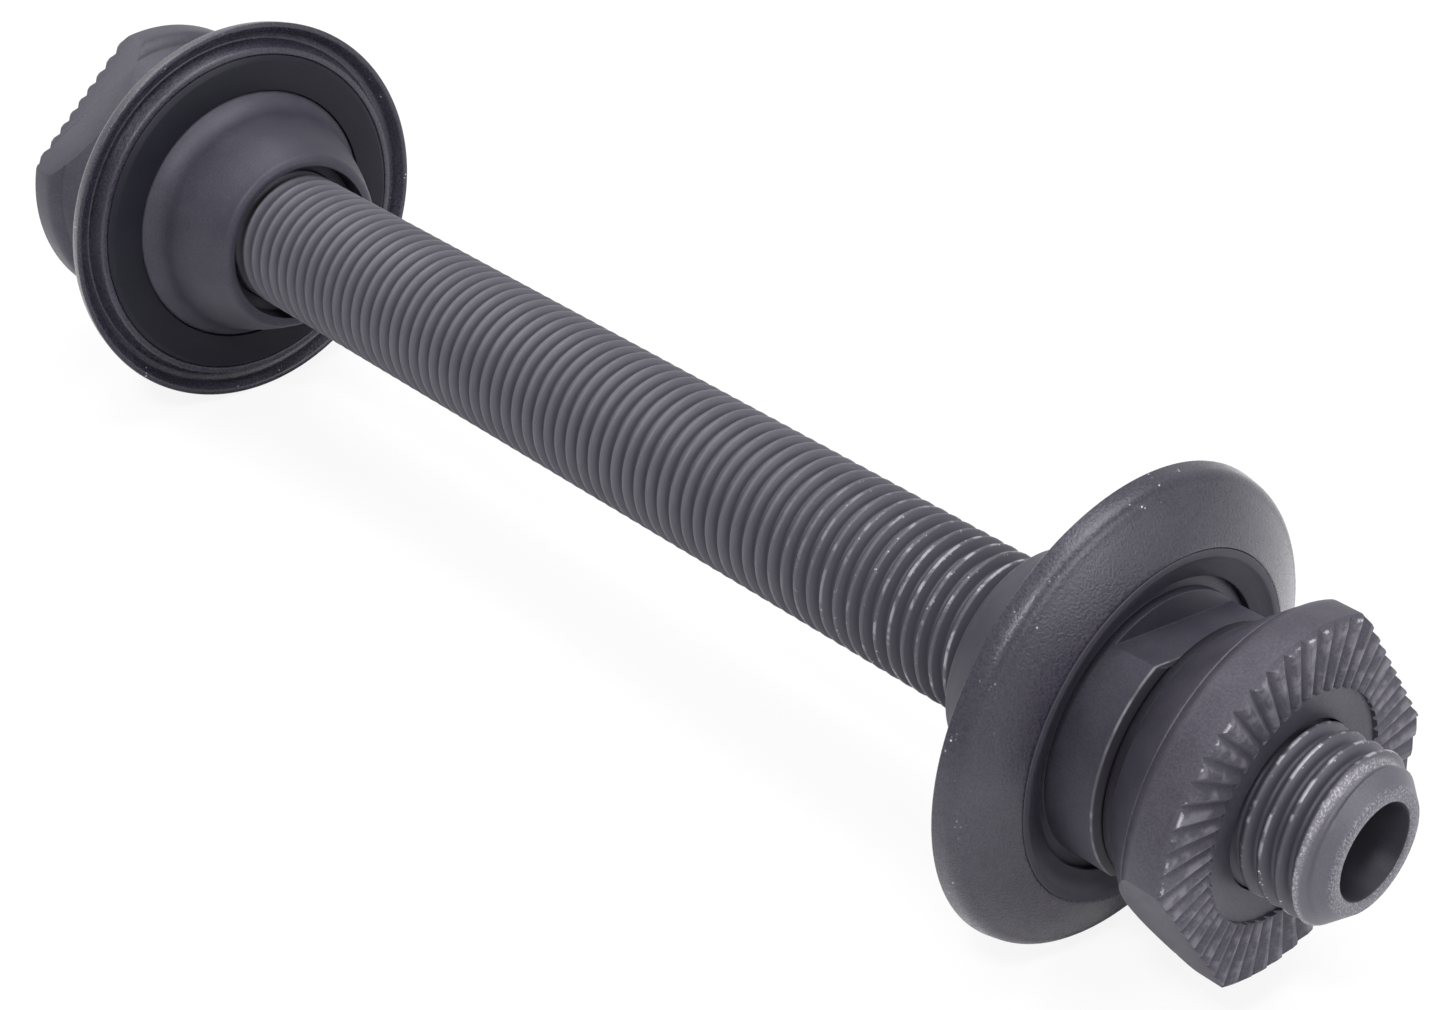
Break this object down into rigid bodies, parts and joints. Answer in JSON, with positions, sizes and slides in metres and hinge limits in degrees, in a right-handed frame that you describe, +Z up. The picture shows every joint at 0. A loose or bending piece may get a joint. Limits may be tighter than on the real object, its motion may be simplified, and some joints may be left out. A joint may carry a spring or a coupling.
{
  "type": "bicycle hub axle",
  "caption": "Hollow threaded front hub axle with a bearing cone, dust seal, washer and toothed lock nut at each end.",
  "frame": {"origin": "middle of the axle, on its axis, half way between the two tips", "axes": "+X along the axle towards the near tip, +Z up and +Y to the back as the picture is seen, right-handed"},
  "size_m": [0.108, 0.0262, 0.0264],
  "materials": {
    "axle_steel": "blackened, worn to grey on the thread crests",
    "cone_steel": "blackened satin",
    "seal_cover": "fine grain, satin",
    "seal_lip": "matte",
    "washer_steel": "blackened",
    "nut_steel": "blackened, bright on the tooth corners"
  },
  "bodies": {
    "axle": {"axle": "axle_steel"},
    "near_seal": {"near_seal_cover": "seal_cover", "near_seal_ring": "seal_lip"},
    "near_cone": {"near_cone": "cone_steel"},
    "near_washer": {"near_washer": "washer_steel"},
    "near_nut": {"near_lock_nut": "nut_steel"},
    "far_seal": {"far_seal_cover": "seal_cover", "far_seal_ring": "seal_lip"},
    "far_cone": {"far_cone": "cone_steel"},
    "far_washer": {"far_washer": "washer_steel"},
    "far_nut": {"far_lock_nut": "nut_steel"}
  },
  "joints": [
    {"name": "near_seal_slide", "type": "slide", "parent": "axle", "child": "near_seal", "axis": [-1, 0, 0], "range_m": [0, 0.003]},
    {"name": "near_cone_screw", "type": "hinge", "parent": "near_seal", "child": "near_cone", "pos_m": [0.04, 0, 0], "axis": [-1, 0, 0], "range_deg": [0, 1081]},
    {"name": "near_washer_slide", "type": "slide", "parent": "axle", "child": "near_washer", "axis": [1, 0, 0], "range_m": [0, 0.004]},
    {"name": "near_nut_screw", "type": "hinge", "parent": "near_washer", "child": "near_nut", "pos_m": [0.047, 0, 0], "axis": [1, 0, 0], "range_deg": [0, 1441]},
    {"name": "far_seal_slide", "type": "slide", "parent": "axle", "child": "far_seal", "axis": [1, 0, 0], "range_m": [0, 0.003]},
    {"name": "far_cone_screw", "type": "hinge", "parent": "far_seal", "child": "far_cone", "pos_m": [-0.04, 0, 0], "axis": [1, 0, 0], "range_deg": [0, 1081]},
    {"name": "far_washer_slide", "type": "slide", "parent": "axle", "child": "far_washer", "axis": [-1, 0, 0], "range_m": [0, 0.004]},
    {"name": "far_nut_screw", "type": "hinge", "parent": "far_washer", "child": "far_nut", "pos_m": [-0.047, 0, 0], "axis": [-1, 0, 0], "range_deg": [0, 1441]}
  ],
  "couplings": [
    {"joint": "near_cone_screw", "follows": "near_seal_slide", "rad_per_m": 6283.2},
    {"joint": "near_nut_screw", "follows": "near_washer_slide", "rad_per_m": 6283.2},
    {"joint": "far_cone_screw", "follows": "far_seal_slide", "rad_per_m": 6283.2},
    {"joint": "far_nut_screw", "follows": "far_washer_slide", "rad_per_m": 6283.2}
  ]
}
